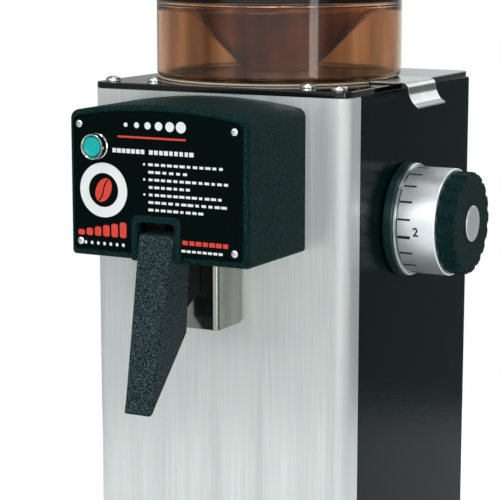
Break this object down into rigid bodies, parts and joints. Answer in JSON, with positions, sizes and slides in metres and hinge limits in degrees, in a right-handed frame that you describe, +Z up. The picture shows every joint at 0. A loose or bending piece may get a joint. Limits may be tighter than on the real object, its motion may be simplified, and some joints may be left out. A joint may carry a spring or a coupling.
{
  "type": "electric coffee grinder",
  "caption": "Counter-top electric coffee grinder with a round tinted bean hopper, an outlet housing with start button and bag clamp, and a granulation dial on its side.",
  "frame": {"origin": "middle of the bottom of the bounding box, on the table under the rubber feet", "axes": "+Z up, the front with the outlet and the button faces -Y, the granulation dial is on the +X side"},
  "size_m": [0.2814, 0.389, 0.7501],
  "materials": {
    "hammer_paint": "black hammer-textured gloss enamel",
    "textured_black": "fine moulded texture",
    "gloss_plate": "high gloss",
    "label_black": "smooth satin gloss with white and red printing",
    "brushed_panel": "vertical grain",
    "tray_steel": "satin",
    "chrome": "polished",
    "screw_steel": "bright plated",
    "tinted_clear": "clear brown-tinted gloss plastic",
    "cream_seal": "matt",
    "rubber": "matt",
    "cast_aluminium": "as cast",
    "burr_steel": "ground",
    "shaft_steel": "ground",
    "motor_iron": "laminated iron and varnished copper",
    "capacitor_shell": "satin",
    "black_nylon": "satin",
    "green_cap": "gloss",
    "spring_steel": "bright wire",
    "dial_silver": "silver-white, black scale"
  },
  "bodies": {
    "root": {"base_casting": "hammer_paint", "foot_1": "rubber", "foot_2": "rubber", "foot_3": "rubber", "foot_4": "rubber", "body_casting": "hammer_paint", "front_panel": "brushed_panel", "rear_cover": "hammer_paint", "top_plate": "gloss_plate", "top_plate_screw_1": "screw_steel", "top_plate_screw_2": "screw_steel", "top_plate_screw_3": "screw_steel", "top_plate_screw_4": "screw_steel", "hopper_seal": "cream_seal", "hopper": "tinted_clear", "shutter_guide": "cream_seal", "motor_shield_left": "cast_aluminium", "motor_shield_right": "cast_aluminium", "bearing_left": "shaft_steel", "bearing_right": "shaft_steel", "motor_stator": "motor_iron", "motor_bracket": "shaft_steel", "inlet_chute": "black_nylon", "grinding_chamber": "cast_aluminium", "chamber_cover": "cast_aluminium", "fixed_burr": "burr_steel", "run_capacitor": "capacitor_shell", "cable_gland": "black_nylon", "outlet_chute": "black_nylon", "outlet_cover": "textured_black", "label_plate": "label_black", "label_screw_1": "screw_steel", "label_screw_2": "screw_steel", "label_screw_3": "screw_steel", "label_screw_4": "screw_steel", "button_bezel": "chrome", "button_spring": "spring_steel", "switch_body": "black_nylon", "spout": "chrome", "lever_pin": "shaft_steel", "lever_spring": "spring_steel"},
    "tray": {"bag_tray": "tray_steel"},
    "lid": {"hopper_lid": "label_black"},
    "shutter": {"shutter_plate": "chrome"},
    "button": {"start_button": "green_cap"},
    "clamp_lever": {"lever": "textured_black", "clamp_pad": "rubber"},
    "dial": {"dial_flange": "label_black", "dial_ring": "chrome", "dial_drum": "dial_silver", "dial_grip": "textured_black", "dial_cap": "dial_silver"},
    "adjuster": {"adjuster_spindle": "shaft_steel", "thrust_bearing": "shaft_steel"},
    "rotor": {"motor_shaft": "shaft_steel", "rotor_core": "motor_iron", "cooling_fan": "black_nylon", "feed_screw": "burr_steel", "burr_holder": "cast_aluminium", "rotating_burr": "burr_steel"}
  },
  "joints": [
    {"name": "tray_slide", "type": "slide", "parent": "root", "child": "tray", "axis": [0, -1, 0], "range_m": [0, 0.11]},
    {"name": "hopper_lid_lift", "type": "slide", "parent": "root", "child": "lid", "axis": [0, 0, 1], "range_m": [0, 0.06]},
    {"name": "shutter_slide", "type": "slide", "parent": "root", "child": "shutter", "axis": [1, 0, 0], "range_m": [0, 0.062]},
    {"name": "button_press", "type": "slide", "parent": "root", "child": "button", "axis": [0, 1, 0], "range_m": [0, 0.0035], "stiffness_N_per_m": 300, "springref_m": -0.004, "deforming": ["button_spring"]},
    {"name": "lever_swing", "type": "hinge", "parent": "root", "child": "clamp_lever", "pos_m": [-0.02865, -0.14355, 0.396], "axis": [-1, 0, 0], "range_deg": [0, 25], "stiffness_Nm_per_rad": 0.8, "springref_deg": -20.05},
    {"name": "dial_turn", "type": "hinge", "parent": "root", "child": "dial", "pos_m": [0.11, 0.03825, 0.3971], "axis": [1, 0, 0], "range_deg": [-160, 160]},
    {"name": "adjuster_feed", "type": "slide", "parent": "root", "child": "adjuster", "axis": [1, 0, 0], "range_m": [-0.00068, 0.00068]},
    {"name": "rotor_spin", "type": "hinge", "parent": "adjuster", "child": "rotor", "pos_m": [0, 0.03825, 0.3971], "axis": [1, 0, 0], "continuous": true}
  ],
  "couplings": [
    {"joint": "adjuster_feed", "follows": "dial_turn", "m_per_rad": 0.00023873}
  ]
}
